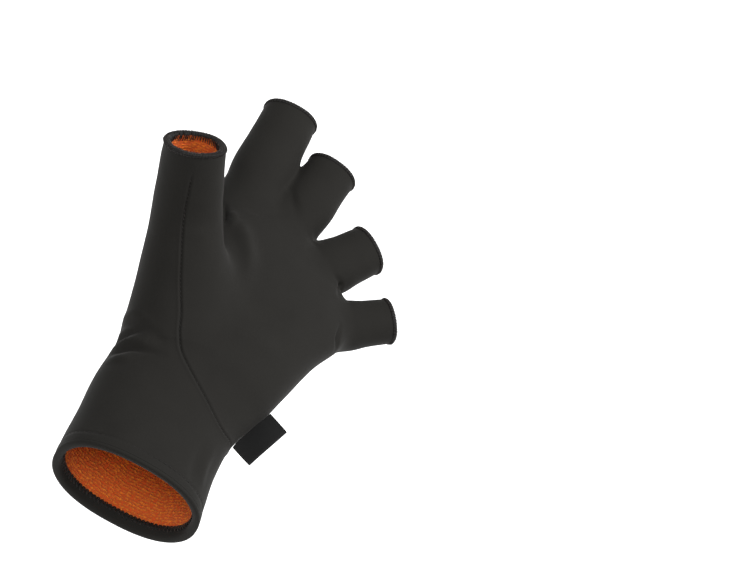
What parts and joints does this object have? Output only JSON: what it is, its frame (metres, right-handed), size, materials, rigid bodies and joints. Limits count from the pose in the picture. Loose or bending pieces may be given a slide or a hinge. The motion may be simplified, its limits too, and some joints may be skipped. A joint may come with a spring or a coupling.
{
  "type": "fingerless fishing glove",
  "caption": "Fingerless glove of thin stretch cloth with an orange knitted lining, open at a flared cuff and at five cut-off stalls, in the form it keeps when worn.",
  "frame": {"origin": "centre of the cuff opening, where the wrist goes in", "axes": "+Y from the cuff to the fingers, +Z out of the palm side, the thumb toward -X"},
  "size_m": [0.1363, 0.224, 0.1017],
  "materials": {
    "stretch_jersey": "matt brushed stretch jersey",
    "lining_knit": "orange knitted fleece with wavy rows",
    "overlock_thread": "dense black overlock stitching",
    "tag_tape": "smooth folded tape, blank"
  },
  "bodies": {
    "root": {"hand_panel": "stretch_jersey", "cuff_panel": "stretch_jersey", "lining": "lining_knit", "cuff_hem": "stretch_jersey", "thumb_hem": "overlock_thread", "index_hem": "overlock_thread", "middle_hem": "overlock_thread", "ring_hem": "overlock_thread", "little_hem": "overlock_thread", "side_tag": "tag_tape"}
  },
  "joints": []
}
